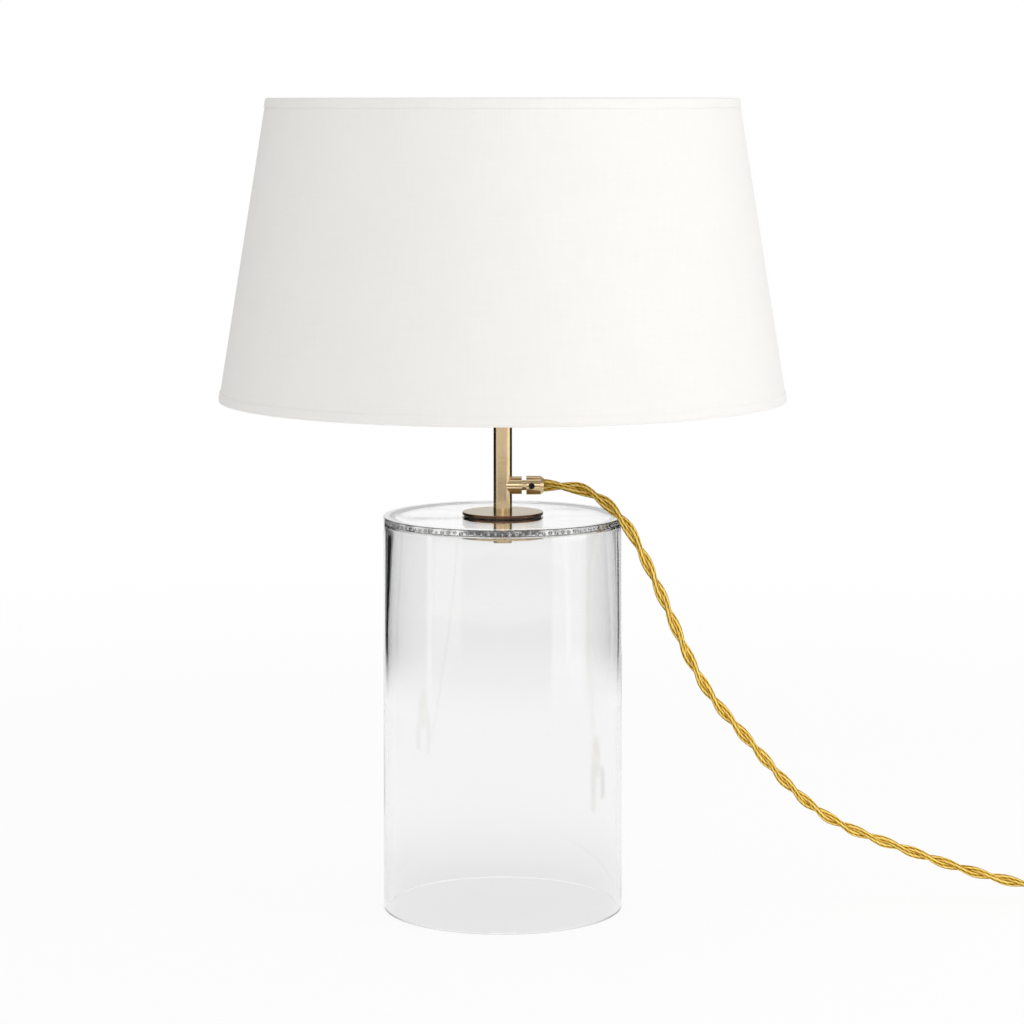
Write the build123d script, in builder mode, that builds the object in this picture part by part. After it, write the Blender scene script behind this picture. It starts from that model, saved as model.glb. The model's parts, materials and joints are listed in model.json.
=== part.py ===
from build123d import *
import math
import os

# Table lamp: a glass bell, a clamped brass stem, an E27 lampholder and a fabric shade.
# Sizes are in millimetres. The lamp stands on Z = 0 with its stem on the Z axis, and
# the cord leaves the stem towards +X.

# Glass bell
GLASS_D = 127.0
GLASS_H = 210.0
GLASS_WALL = 3.0
GLASS_PLATE_T = 4.0
GLASS_SHOULDER_R = 3.0
GLASS_INNER_R = 2.0
GLASS_RIM_R = 0.7
GLASS_HOLE_D = 12.4

# Clamp on the glass
FLANGE_D = 43.0
FLANGE_T = 1.4
FLANGE_EDGE_R = 0.6
TOP_GASKET_T = 0.5
BOTTOM_GASKET_T = 0.8
CLAMP_DISC_T = 4.8
GASKET_INSET = 1.0
BUSH_CLEAR = 0.1

# Stem
STEM_D = 10.0
STEM_WALL = 1.0
STEM_TAIL = 3.0
STEM_RISE = 72.4
THREAD_CLEAR = 0.05

# Side outlet and cord grip
OUTLET_RISE = 13.9
OUTLET_D = 9.4
OUTLET_LENGTH = 5.1
GRIP_THREAD_LENGTH = 3.5
GRIP_NECK_WALL = 0.5
GRIP_NECK_LENGTH = 2.4
GRIP_D = 10.0
GRIP_BODY_LENGTH = 7.5
GRIP_NOSE_LENGTH = 1.8
GRIP_NOSE_WALL = 0.5
GRIP_FLOOR_T = 1.0
GRIP_MOUTH_CLEAR = 0.3
GRIP_BUSH_LENGTH = 3.5
GRIP_SCREW_D = 3.2
GRIP_SCREW_SINK = 0.3
SOCKET_DEPTH = 0.7
SOCKET_R = 0.8

# Wires inside the stem
WIRE_D = 2.0
WIRE_GAP = 0.2
WIRE_CLEAR = 0.1
WIRE_RISE = 1.5
WIRE_LEG = 4.0

# Lampholder
CAP_NECK_D = 16.0
CAP_THREAD_LENGTH = 8.0
CAP_FLARE_START = 5.0
CAP_D = 37.0
CAP_WALL = 1.2
CAP_CONE_WALL = 3.0
CAP_LEDGE_W = 1.7
CAP_LEDGE_T = 1.4
CAP_SLEEVE = 9.0
CAP_BEND_R = 2.5
LOCK_SCREW_D = 3.0
LOCK_SCREW_RISE = 2.5
CORE_CLEAR = 0.2
CORE_H = 16.0
CORE_STEP = 4.0
SHELL_BORE = 26.6
SHELL_WALL = 0.5
SHELL_SEAT_W = 0.25
SHELL_LENGTH = 22.0
SKIRT_D = 38.0
SKIRT_TOP_CLEAR = 1.0
SEAT_D = 48.0
SEAT_T = 2.5
SEAT_RISE = 8.0
MOUTH_BORE = 28.8
MOUTH_DEPTH = 10.0
MOUTH_LIP_T = 2.0

# Terminals and middle contact
TERMINAL_Y = 9.5
TERMINAL_SCREW_D = 3.0
TERMINAL_HEAD_D = 5.0
TERMINAL_HEAD_T = 1.8
TERMINAL_SCREW_LENGTH = 7.8
WIRE_TIP_GAP = 0.7
SLOT_W = 0.8
SLOT_DEPTH = 0.7
STRAP_T = 0.5
STRAP_W = 6.0
STRAP_TONGUE_W = 3.0
STRAP_BACK = 2.6
CONTACT_D = 7.2
CONTACT_T = 2.0
CONTACT_EDGE_R = 0.65
CONTACT_STAND = 1.5
CONTACT_STEM_D = 3.5
CONTACT_RIVET_D = 5.2
CONTACT_RIVET_T = 1.8
CONTACT_POCKET_D = 9.2
CONTACT_POCKET_DEPTH = 6.0
CONTACT_RUN = 0.05
SPRING_WALL = 0.8
SPRING_PLAY = 0.65

# Shade and its fitting
SHADE_BOTTOM_D = 300.0
SHADE_TOP_D = 249.0
SHADE_H = 158.5
SHADE_DROP = 49.0
HEM_W = 4.5
HEM_T = 0.3
FABRIC_T = 0.6
LINER_T = 0.5
LAYER_GAP = 0.05
SHADE_WIRE_D = 3.2
WIRE_SEAT = 0.15
ARM_D = 2.6
ARM_COUNT = 3
ARM_START_ANGLE = 90.0
FITTER_BORE = 41.0
FITTER_D = 54.0
FITTER_T = 2.6
RING_BORE_CLEAR = 0.3
RING_D = 50.0
RING_H = 6.5
RING_NOTCH_R = 0.9
RING_NOTCHES = 30
RING_EDGE = 0.6

# Cord and its route. The route's points are (X, Y, Z)
CORD_D = 6.0
ARC_SHARE = 0.45
GRIP_LEAD = 14.5
DROP_POINTS = [
    (46, -7, 223.6),
    (57, -19.5, 216.8),
    (66.5, -32.5, 206.9),
    (79.5, -41, 180.5),
    (102.5, -40, 126.5),
    (127, -32.5, 97.2),
    (154.5, -20, 64),
    (178.5, -9.5, 45),
    (214, -1, 30.5),
    (242.5, 2, 19.8),
    (270.5, 2, 12.3),
]
SWITCH_LEAD = 24.0

# Switch in the cord
SWITCH_X = 314.0
SWITCH_L = 66.0
SWITCH_W = 27.0
SWITCH_BASE_H = 8.0
SWITCH_COVER_H = 9.0
SWITCH_WALL = 2.0
SWITCH_CORNER_R = 9.0
SWITCH_EDGE_R = 1.8
PORT_CLEAR = 0.2
CORD_ENTRY = 6.0
POST_D = 5.6
POST_X = 21.0
POST_Y = 8.2
CASE_SCREW_D = 2.5
CASE_SCREW_HEAD_D = 4.4
CASE_SCREW_HEAD_T = 1.6
CASE_SCREW_LENGTH = 9.0
CASE_SCREW_SINK = 0.4
CASE_SCREW_CLEAR = 0.1
BLOCK_L = 8.0
BLOCK_W = 7.0
BLOCK_X = 19.0
BLADE_W = 5.0
BLADE_T = 0.5
ROCKER_L = 18.0
ROCKER_W = 10.0
ROCKER_TILT = 9.0
ROCKER_CROWN = 4.8
ROCKER_RISE = 1.4
ROCKER_SIDE = 3.0
ROCKER_FOOT_L = 6.0
ROCKER_FOOT = 2.0
WINDOW_CLEAR_L = 1.4
WINDOW_CLEAR_W = 0.4
PIVOT_DEPTH = 4.5
PIVOT_D = 2.4
PIVOT_RUN = 0.08
LUG_T = 2.0
LUG_L = 6.0
LUG_CLEAR = 0.3
LUG_BELOW = 2.0

# Put-away coil and its tie
COIL_LEAD = 19.0
COIL_TURNS = 5.5
CLIMB_TURNS = 0.5
COIL_INNER_R = 27.0
TURN_GAP = 0.6
COIL_GAP = 0.2
COIL_SAMPLES = 48
TIE_T = 0.8
TIE_W = 8.0
TIE_CLEAR = 0.8
TIE_CORNER_R = 2.0

# Plug
TAIL_RUN = 23.0
PLUG_L = 34.0
PLUG_W = 35.3
PLUG_T = 13.7
PLUG_HEAD_L = 14.0
PLUG_REAR_W = 16.0
PLUG_EDGE_R = 2.0
PLUG_CORNER_R = 4.0
PIN_D = 4.0
PIN_LENGTH = 19.0
PIN_SPACING = 18.6
PIN_TIP_R = 1.2
BOOT_L = 20.0
BOOT_FRONT_D = 10.6
BOOT_WALL = 1.0
BOOT_CLEAR = 0.4

# Heights and radii worked out from the sizes above
stem_r = STEM_D / 2
stem_hole_r = stem_r + THREAD_CLEAR
stem_bore_r = stem_r - STEM_WALL
plate_z = GLASS_H - GLASS_PLATE_T
flange_z = GLASS_H + TOP_GASKET_T
flange_top = flange_z + FLANGE_T
disc_top = plate_z - BOTTOM_GASKET_T
disc_z = disc_top - CLAMP_DISC_T
stem_z = disc_z - STEM_TAIL
gasket_r = FLANGE_D / 2 - GASKET_INSET
outlet_z = flange_top + OUTLET_RISE
outlet_x = stem_r + OUTLET_LENGTH
outlet_axis = Axis((0, 0, outlet_z), (1, 0, 0))
wire_y = (WIRE_D + WIRE_GAP) / 2
wire_bore_r = WIRE_D + WIRE_GAP / 2 + WIRE_CLEAR
neck_r = wire_bore_r + GRIP_NECK_WALL
grip_x = outlet_x + GRIP_NECK_LENGTH
grip_end = grip_x + GRIP_BODY_LENGTH
nose_x = grip_end + GRIP_NOSE_LENGTH
grip_floor = grip_x + GRIP_FLOOR_T
mouth_r = CORD_D / 2 + GRIP_MOUTH_CLEAR
cord_x = grip_floor + GRIP_BUSH_LENGTH
grip_bush_r = mouth_r - THREAD_CLEAR
grip_screw_x = grip_floor + GRIP_BUSH_LENGTH / 2

holder_z = flange_top + STEM_RISE
stem_top = holder_z + CAP_THREAD_LENGTH
cap_r = CAP_D / 2
sleeve_r = cap_r - CAP_WALL
ledge_r = sleeve_r - CAP_LEDGE_W
flare_top = holder_z + CAP_FLARE_START + cap_r - CAP_NECK_D / 2
cone_top = holder_z + CAP_FLARE_START + ledge_r + CAP_CONE_WALL - CAP_NECK_D / 2
ledge_z = cone_top + CAP_LEDGE_T
cap_top = ledge_z + CAP_SLEEVE
core_r = sleeve_r - CORE_CLEAR
core_top = ledge_z + CORE_H
step_top = core_top + CORE_STEP
shell_r = SHELL_BORE / 2
step_r = shell_r + SHELL_WALL - SHELL_SEAT_W
shell_top = step_top + SHELL_LENGTH
skirt_r = SKIRT_D / 2
skirt_top = shell_top + SKIRT_TOP_CLEAR
seat_z = cap_top + SEAT_RISE
seat_top = seat_z + SEAT_T
mouth_bore_r = MOUTH_BORE / 2
strap_top = core_top + STRAP_T
contact_z = core_top + CONTACT_STAND
pocket_r = CONTACT_POCKET_D / 2
pocket_z = core_top - CONTACT_POCKET_DEPTH
terminal_tip = strap_top - TERMINAL_SCREW_LENGTH
wire_end = terminal_tip - WIRE_TIP_GAP
spring_r = CONTACT_STEM_D / 2 + SPRING_PLAY

shade_z = seat_top - SHADE_DROP
cover_inset = HEM_T + LAYER_GAP
liner_inset = cover_inset + FABRIC_T + LAYER_GAP
frame_inset = liner_inset + LINER_T + WIRE_SEAT + SHADE_WIRE_D / 2
fitter_top = seat_top + FITTER_T

switch_mid = SWITCH_X + SWITCH_L / 2
switch_end = SWITCH_X + SWITCH_L
port_r = CORD_D / 2 + PORT_CLEAR
switch_top = SWITCH_BASE_H + SWITCH_COVER_H
pivot_z = switch_top - PIVOT_DEPTH

coil_pitch = CORD_D + TURN_GAP
coil_outer_r = COIL_INNER_R + coil_pitch * COIL_TURNS / 2
coil_z = TIE_T + COIL_GAP + CORD_D / 2
link_x = switch_end - CORD_ENTRY
coil_start_x = link_x + 3 * COIL_LEAD
coil_x = coil_start_x + CORD_D
coil_y = coil_outer_r
coil_exit = (coil_start_x, 2 * coil_outer_r, coil_z + coil_pitch)
plug_rear = coil_start_x - 3 * TAIL_RUN
plug_front = plug_rear - PLUG_L
plug_y = coil_exit[1]
plug_z = PLUG_T / 2


def ring(outer_r, inner_r, low, height, mode=Mode.ADD):
    """Add or cut an upright ring, or a disc where the inner radius is zero."""
    with BuildSketch(Plane.XY.offset(low)) as outline:
        Circle(outer_r)
        if inner_r:
            Circle(inner_r, mode=Mode.SUBTRACT)
    extrude(outline.sketch, amount=height, mode=mode)


def rod(start, direction, radius, length, mode=Mode.ADD):
    """Add or cut a round bar that runs from a point in a direction."""
    with BuildSketch(Plane(origin=start, z_dir=direction)) as outline:
        Circle(radius)
    extrude(outline.sketch, amount=length, mode=mode)


def turned(points, axis=Axis.Z, plane=Plane.XZ):
    """Add a turned body from a profile of (X, Z) points."""
    with BuildSketch(plane) as outline:
        with BuildLine():
            Polyline(*points, close=True)
        make_face()
    revolve(outline.sketch, axis=axis)


def shade_r(height):
    """Outer radius of the shade at a height above its lower edge."""
    return (SHADE_BOTTOM_D + (SHADE_TOP_D - SHADE_BOTTOM_D) * height / SHADE_H) / 2


def cone_band(inset, thickness, low, high):
    """Add a conical band of the shade between two heights above its lower edge."""
    outer = [(shade_r(h) - inset, shade_z + h) for h in (low, high)]
    inner = [(r - thickness, z) for r, z in reversed(outer)]
    turned(outer + inner)


def cord_tube(name, points, diameter, radii=None):
    """Sweep a round cord along straight runs joined by the widest arcs that fit."""
    route = [Vector(*point) for point in points]
    if radii is None:
        radii = []
        for before, here, after in zip(route, route[1:], route[2:]):
            half_turn = math.radians((here - before).get_angle(after - here)) / 2
            shorter = min((here - before).length, (after - here).length)
            radii.append(ARC_SHARE * shorter / math.tan(half_turn))
        print(name, "arc radii", [round(radius) for radius in radii])
    with BuildLine(mode=Mode.PRIVATE) as path:
        FilletPolyline(*route, radius=radii)
    line = path.wire()
    with BuildSketch(Plane(origin=line @ 0, z_dir=line % 0)) as section:
        Circle(diameter / 2)
    tube = sweep(section.sketch, path=line)
    share = tube.volume / (math.pi * diameter**2 / 4 * line.length)
    print(name, "length", round(line.length, 1), "volume share", round(share, 4))


def biarc(start, start_way, end, end_way):
    """Two tangent arcs from one point and direction to another."""
    chord = end - start
    spread = 2 * (1 - start_way.dot(end_way))
    along = chord.dot(start_way + end_way)
    reach = (math.sqrt(along**2 + spread * chord.dot(chord)) - along) / spread
    middle = (start + end + (start_way - end_way) * reach) * 0.5
    TangentArc(start, middle, tangent=start_way)
    TangentArc(middle, end, tangent=end_way * -1, tangent_from_first=False)


def coil_point(turn):
    """Cord centre after a number of turns: in on the lower layer, out on the upper."""
    past_middle = turn - COIL_TURNS / 2
    radius = COIL_INNER_R + coil_pitch * abs(past_middle)
    climb = min(max(past_middle / CLIMB_TURNS + 0.5, 0), 1)
    angle = 2 * math.pi * turn - math.pi / 2
    lift = coil_pitch * climb**2 * (3 - 2 * climb)
    across = radius * math.cos(angle)
    return Vector(coil_x + across, coil_y + radius * math.sin(angle), coil_z + lift)


# Glass bell, open below
with BuildPart() as glass_body:
    with BuildSketch(Plane.XZ) as bell:
        with BuildLine():
            Polyline(
                (GLASS_HOLE_D / 2, plate_z),
                (GLASS_HOLE_D / 2, GLASS_H),
                (GLASS_D / 2, GLASS_H),
                (GLASS_D / 2, 0),
                (GLASS_D / 2 - GLASS_WALL, 0),
                (GLASS_D / 2 - GLASS_WALL, plate_z),
                close=True,
            )
        make_face()
        fillet(bell.vertices().group_by(Axis.Y)[0], GLASS_RIM_R)
        fillet(bell.vertices().group_by(Axis.Y)[-2].sort_by(Axis.X)[-1], GLASS_INNER_R)
        fillet(bell.vertices().group_by(Axis.Y)[-1].sort_by(Axis.X)[-1], GLASS_SHOULDER_R)
    revolve(axis=Axis.Z)

# Sleeve that keeps the stem off the glass
with BuildPart() as stem_bush:
    ring(GLASS_HOLE_D / 2 - BUSH_CLEAR, stem_hole_r, plate_z, GLASS_PLATE_T)

with BuildPart() as top_gasket:
    ring(gasket_r, stem_hole_r, GLASS_H, TOP_GASKET_T)

with BuildPart() as bottom_gasket:
    ring(gasket_r, stem_hole_r, disc_top, BOTTOM_GASKET_T)

# Brass discs above and below the glass, both tapped for the stem
with BuildPart() as top_flange:
    ring(FLANGE_D / 2, stem_hole_r, flange_z, FLANGE_T)
    fillet(top_flange.edges().group_by(Axis.Z)[-1].sort_by(SortBy.LENGTH)[-1], FLANGE_EDGE_R)

with BuildPart() as clamp_disc:
    ring(FLANGE_D / 2, stem_hole_r, disc_z, CLAMP_DISC_T)
    fillet(clamp_disc.edges().group_by(Axis.Z)[0].sort_by(SortBy.LENGTH)[-1], FLANGE_EDGE_R)

# Lamp tube with the side hole for the wires
with BuildPart() as stem_tube:
    ring(stem_r, stem_bore_r, stem_z, stem_top - stem_z)
    rod((0, 0, outlet_z), (1, 0, 0), wire_bore_r, STEM_D, mode=Mode.SUBTRACT)

# Boss brazed to the stem
with BuildPart() as side_outlet:
    rod((0, 0, outlet_z), (1, 0, 0), OUTLET_D / 2, outlet_x)
    rod((0, 0, outlet_z), (1, 0, 0), neck_r + THREAD_CLEAR, outlet_x, mode=Mode.SUBTRACT)
    ring(stem_r, 0, outlet_z - STEM_D, 2 * STEM_D, mode=Mode.SUBTRACT)

# Grip that screws into the boss and holds the cord
with BuildPart() as cord_grip:
    turned(
        [
            (outlet_x - GRIP_THREAD_LENGTH, outlet_z + wire_bore_r),
            (outlet_x - GRIP_THREAD_LENGTH, outlet_z + neck_r),
            (grip_x, outlet_z + neck_r),
            (grip_x, outlet_z + GRIP_D / 2),
            (grip_end, outlet_z + GRIP_D / 2),
            (nose_x, outlet_z + mouth_r + GRIP_NOSE_WALL),
            (nose_x, outlet_z + mouth_r),
            (grip_floor, outlet_z + mouth_r),
            (grip_floor, outlet_z + wire_bore_r),
        ],
        axis=outlet_axis,
    )
    rod(
        (grip_screw_x, 0, outlet_z),
        (0, -1, 0),
        GRIP_SCREW_D / 2 + THREAD_CLEAR,
        GRIP_D,
        mode=Mode.SUBTRACT,
    )

with BuildPart() as grip_bush:
    rod((grip_floor, 0, outlet_z), (1, 0, 0), grip_bush_r, GRIP_BUSH_LENGTH)
    rod((grip_floor, 0, outlet_z), (1, 0, 0), wire_bore_r, GRIP_BUSH_LENGTH, mode=Mode.SUBTRACT)

# Set screw with a hexagon socket, pressing on the sleeve
with BuildPart() as grip_screw:
    grip_screw_out = GRIP_D / 2 - GRIP_SCREW_SINK
    rod((grip_screw_x, -mouth_r, outlet_z), (0, -1, 0), GRIP_SCREW_D / 2, grip_screw_out - mouth_r)
    with BuildSketch(Plane(origin=(grip_screw_x, -grip_screw_out, outlet_z), z_dir=(0, 1, 0))):
        RegularPolygon(SOCKET_R, 6)
    extrude(amount=SOCKET_DEPTH, mode=Mode.SUBTRACT)


def wire_points(side):
    """Route of one core from the grip up the stem to its terminal."""
    return [
        (cord_x, side * wire_y, outlet_z),
        (0, side * wire_y, outlet_z),
        (0, side * wire_y, stem_top + WIRE_RISE),
        (0, side * TERMINAL_Y, stem_top + WIRE_RISE + WIRE_LEG),
        (0, side * TERMINAL_Y, wire_end),
    ]


# Two cores, bent as wide as the bore of the stem allows
with BuildPart() as live_wire:
    cord_tube("live_wire", wire_points(1), WIRE_D, radii=[stem_bore_r] * 3)

with BuildPart() as neutral_wire:
    cord_tube("neutral_wire", wire_points(-1), WIRE_D, radii=[stem_bore_r] * 3)

# Lower shell of the lampholder, screwed on the stem
with BuildPart() as holder_cap:
    with BuildSketch(Plane.XZ) as cap_outline:
        with BuildLine():
            Polyline(
                (stem_hole_r, holder_z),
                (CAP_NECK_D / 2, holder_z),
                (CAP_NECK_D / 2, holder_z + CAP_FLARE_START),
                (cap_r, flare_top),
                (cap_r, cap_top),
                (sleeve_r, cap_top),
                (sleeve_r, ledge_z),
                (ledge_r, ledge_z),
                (ledge_r, cone_top),
                (ledge_r - cone_top + stem_top, stem_top),
                (stem_hole_r, stem_top),
                close=True,
            )
        make_face()
        flare_foot = (CAP_NECK_D / 2, holder_z + CAP_FLARE_START)
        fillet(cap_outline.vertices().sort_by_distance(flare_foot)[0], CAP_BEND_R)
        fillet(cap_outline.vertices().sort_by_distance((cap_r, flare_top))[0], CAP_BEND_R)
    revolve(axis=Axis.Z)
    rod(
        (0, 0, holder_z + LOCK_SCREW_RISE),
        (0, -1, 0),
        LOCK_SCREW_D / 2 + THREAD_CLEAR,
        CAP_NECK_D,
        mode=Mode.SUBTRACT,
    )

with BuildPart() as holder_lock_screw:
    lock_screw_z = holder_z + LOCK_SCREW_RISE
    rod((0, -stem_hole_r, lock_screw_z), (0, -1, 0), LOCK_SCREW_D / 2, CAP_NECK_D / 2 - stem_hole_r)
    with BuildSketch(Plane(origin=(0, -CAP_NECK_D / 2, lock_screw_z), z_dir=(0, 1, 0))):
        Rectangle(LOCK_SCREW_D, SLOT_W)
    extrude(amount=SLOT_DEPTH, mode=Mode.SUBTRACT)

# Ceramic block with the terminal holes and the pocket of the middle contact
with BuildPart() as holder_core:
    ring(core_r, 0, ledge_z, CORE_H)
    ring(core_r, step_r, core_top, CORE_STEP)
    ring(pocket_r, 0, pocket_z, CONTACT_POCKET_DEPTH, mode=Mode.SUBTRACT)
    ring(CONTACT_STEM_D / 2 + CONTACT_RUN, 0, ledge_z, CORE_H, mode=Mode.SUBTRACT)
    for side in (1, -1):
        foot = (0, side * TERMINAL_Y, ledge_z)
        rod(foot, (0, 0, 1), WIRE_D / 2 + WIRE_CLEAR, CORE_H, mode=Mode.SUBTRACT)
        tip = (0, side * TERMINAL_Y, wire_end)
        rod(tip, (0, 0, 1), TERMINAL_SCREW_D / 2 + THREAD_CLEAR, CORE_H, mode=Mode.SUBTRACT)

# Screws that pinch the wires and hold the straps
with BuildPart() as terminal_screws:
    for side in (1, -1):
        rod((0, side * TERMINAL_Y, strap_top), (0, 0, 1), TERMINAL_HEAD_D / 2, TERMINAL_HEAD_T)
        tip = (0, side * TERMINAL_Y, terminal_tip)
        rod(tip, (0, 0, 1), TERMINAL_SCREW_D / 2, TERMINAL_SCREW_LENGTH)
    with BuildSketch(Plane.XY.offset(strap_top + TERMINAL_HEAD_T)):
        with Locations((0, TERMINAL_Y), (0, -TERMINAL_Y)):
            Rectangle(TERMINAL_HEAD_D, SLOT_W)
    extrude(amount=-SLOT_DEPTH, mode=Mode.SUBTRACT)


def strap(side, tongue_start, tongue_end):
    """Add a brass strap under a terminal screw, with a tongue to one edge."""
    with BuildSketch(Plane.XY.offset(core_top)) as outline:
        with Locations((0, side * TERMINAL_Y)):
            Rectangle(STRAP_W, 2 * STRAP_BACK)
        with Locations((0, side * (tongue_start + tongue_end) / 2)):
            Rectangle(STRAP_TONGUE_W, abs(tongue_end - tongue_start))
        with Locations((0, side * TERMINAL_Y)):
            Circle(TERMINAL_SCREW_D / 2 + THREAD_CLEAR, mode=Mode.SUBTRACT)
    extrude(outline.sketch, amount=STRAP_T)


# Straps from the terminals to the spring and to the screw shell
with BuildPart() as contact_strap:
    tongue_y = math.sqrt(pocket_r**2 - STRAP_TONGUE_W**2 / 4) - WIRE_CLEAR
    strap(1, tongue_y - STRAP_T, TERMINAL_Y - STRAP_BACK)
    with BuildSketch(Plane.XY.offset(pocket_z)):
        with Locations((0, tongue_y - STRAP_T / 2)):
            Rectangle(STRAP_TONGUE_W, STRAP_T)
    extrude(amount=CONTACT_POCKET_DEPTH)

with BuildPart() as shell_strap:
    tongue_y = math.sqrt(step_r**2 - STRAP_TONGUE_W**2 / 4) - WIRE_CLEAR / 2
    strap(-1, TERMINAL_Y + STRAP_BACK, tongue_y)
    with BuildSketch(Plane.XY.offset(core_top)):
        with Locations((0, STRAP_T / 2 - tongue_y)):
            Rectangle(STRAP_TONGUE_W, STRAP_T)
    extrude(amount=CORE_STEP)

# E27 screw shell
with BuildPart() as socket_shell:
    ring(shell_r + SHELL_WALL, shell_r, step_top, SHELL_LENGTH)

# Sprung middle contact: button, stem and riveted end
with BuildPart() as centre_contact:
    ring(CONTACT_D / 2, 0, contact_z, CONTACT_T)
    fillet(centre_contact.edges().group_by(Axis.Z)[-1], CONTACT_EDGE_R)
    ring(CONTACT_STEM_D / 2, 0, ledge_z - CONTACT_RUN, contact_z - ledge_z + CONTACT_RUN)
    rivet_z = ledge_z - CONTACT_RUN - CONTACT_RIVET_T
    ring(CONTACT_RIVET_D / 2, 0, rivet_z, CONTACT_RIVET_T)

with BuildPart() as contact_spring:
    ring(spring_r + SPRING_WALL / 2, spring_r - SPRING_WALL / 2, pocket_z, contact_z - pocket_z)

# Upper shell of the lampholder, with the seat of the shade
with BuildPart() as holder_skirt:
    ring(skirt_r, sleeve_r, cap_top, skirt_top - cap_top)
    ring(SEAT_D / 2, skirt_r, seat_z, SEAT_T)

# Ceramic mouth that covers the edge of the skirt
with BuildPart() as mouth_ring:
    ring(core_r, mouth_bore_r, skirt_top - MOUTH_DEPTH, MOUTH_DEPTH)
    ring(skirt_r, mouth_bore_r, skirt_top, MOUTH_LIP_T)

# Ring that clamps the shade on its seat, notched for the fingers
with BuildPart() as shade_ring:
    ring(RING_D / 2, skirt_r + RING_BORE_CLEAR, fitter_top, RING_H)
    chamfer(shade_ring.edges().filter_by(GeomType.CIRCLE).sort_by(SortBy.LENGTH)[-2:], RING_EDGE)
    with BuildSketch(Plane.XY.offset(fitter_top)):
        with PolarLocations(RING_D / 2, RING_NOTCHES):
            Circle(RING_NOTCH_R)
    extrude(amount=RING_H, mode=Mode.SUBTRACT)

# Shade frame: fitter plate, two wires and the arms between
with BuildPart() as shade_fitter:
    ring(FITTER_D / 2, FITTER_BORE / 2, seat_top, FITTER_T)


def frame_wire(height):
    """Add a wire hoop inside the shade at a height above its lower edge."""
    with BuildSketch(Plane.XZ) as section:
        with Locations((shade_r(height) - frame_inset, shade_z + height)):
            Circle(SHADE_WIRE_D / 2)
    revolve(section.sketch, axis=Axis.Z)


with BuildPart() as bottom_wire:
    frame_wire(SHADE_WIRE_D / 2)

with BuildPart() as top_wire:
    frame_wire(SHADE_H - SHADE_WIRE_D / 2)

with BuildPart() as shade_arms:
    arm_z = seat_top + FITTER_T / 2
    hoop_r = shade_r(SHADE_WIRE_D / 2) - frame_inset
    hoop_z = shade_z + SHADE_WIRE_D / 2
    inner_r = FITTER_D / 2 - ARM_D
    arm_length = math.hypot(hoop_r - inner_r, arm_z - hoop_z)
    for arm in range(ARM_COUNT):
        angle = math.radians(ARM_START_ANGLE + 360 * arm / ARM_COUNT)
        out = Vector(math.cos(angle), math.sin(angle), 0)
        way = out * (hoop_r - inner_r) + Vector(0, 0, hoop_z - arm_z)
        rod(out * inner_r + Vector(0, 0, arm_z), way, ARM_D / 2, arm_length)
    ring(FITTER_D / 2, 0, arm_z - FITTER_D, 2 * FITTER_D, mode=Mode.SUBTRACT)
    add(bottom_wire.part, mode=Mode.SUBTRACT)

# Fabric, its turned edges and the stiff sheet behind it
with BuildPart() as shade_cover:
    cone_band(cover_inset, FABRIC_T, 0, SHADE_H)

with BuildPart() as shade_liner:
    cone_band(liner_inset, LINER_T, 0, SHADE_H)

with BuildPart() as bottom_hem:
    cone_band(0, HEM_T, 0, HEM_W)

with BuildPart() as top_hem:
    cone_band(0, HEM_T, SHADE_H - HEM_W, SHADE_H)

# Cord from the grip to the switch
with BuildPart() as cord_drop:
    drop_end = SWITCH_X + CORD_ENTRY
    cord_tube(
        "cord_drop",
        [(cord_x, 0, outlet_z), (cord_x + GRIP_LEAD, 0, outlet_z)]
        + DROP_POINTS
        + [(drop_end - SWITCH_LEAD, 0, SWITCH_BASE_H), (drop_end, 0, SWITCH_BASE_H)],
        CORD_D,
    )


def case_block(low, height, inset, mode=Mode.ADD):
    """Add or cut a block of the switch's rounded outline."""
    with BuildSketch(Plane.XY.offset(low)) as outline:
        with Locations((switch_mid, 0)):
            RectangleRounded(SWITCH_L - 2 * inset, SWITCH_W - 2 * inset, SWITCH_CORNER_R - inset)
    extrude(outline.sketch, amount=height, mode=mode)


def case_post(side, low, height, radius, mode=Mode.ADD):
    """Add or cut one of the two round posts of the switch."""
    rod((switch_mid + side * POST_X, -side * POST_Y, low), (0, 0, 1), radius, height, mode=mode)


post_r = POST_D / 2
screw_r = CASE_SCREW_D / 2
head_r = CASE_SCREW_HEAD_D / 2
head_z = CASE_SCREW_SINK + CASE_SCREW_HEAD_T
port_start = (SWITCH_X, 0, SWITCH_BASE_H)

# Lower half of the switch case
with BuildPart() as switch_base:
    case_block(0, SWITCH_BASE_H, 0)
    fillet(switch_base.edges().group_by(Axis.Z)[0], SWITCH_EDGE_R)
    case_block(SWITCH_WALL, SWITCH_BASE_H, SWITCH_WALL, mode=Mode.SUBTRACT)
    for side in (1, -1):
        case_post(side, SWITCH_WALL, SWITCH_BASE_H - SWITCH_WALL, post_r)
        case_post(side, 0, SWITCH_BASE_H, screw_r + CASE_SCREW_CLEAR, mode=Mode.SUBTRACT)
        case_post(side, 0, head_z, head_r + CASE_SCREW_CLEAR, mode=Mode.SUBTRACT)
    rod(port_start, (1, 0, 0), port_r, SWITCH_L, mode=Mode.SUBTRACT)

lug_y = ROCKER_W / 2 + WINDOW_CLEAR_W + LUG_CLEAR
lug_low = pivot_z - PIVOT_D / 2 - LUG_BELOW
window_l = ROCKER_L + 2 * WINDOW_CLEAR_L
window_w = ROCKER_W + 2 * WINDOW_CLEAR_W

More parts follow.
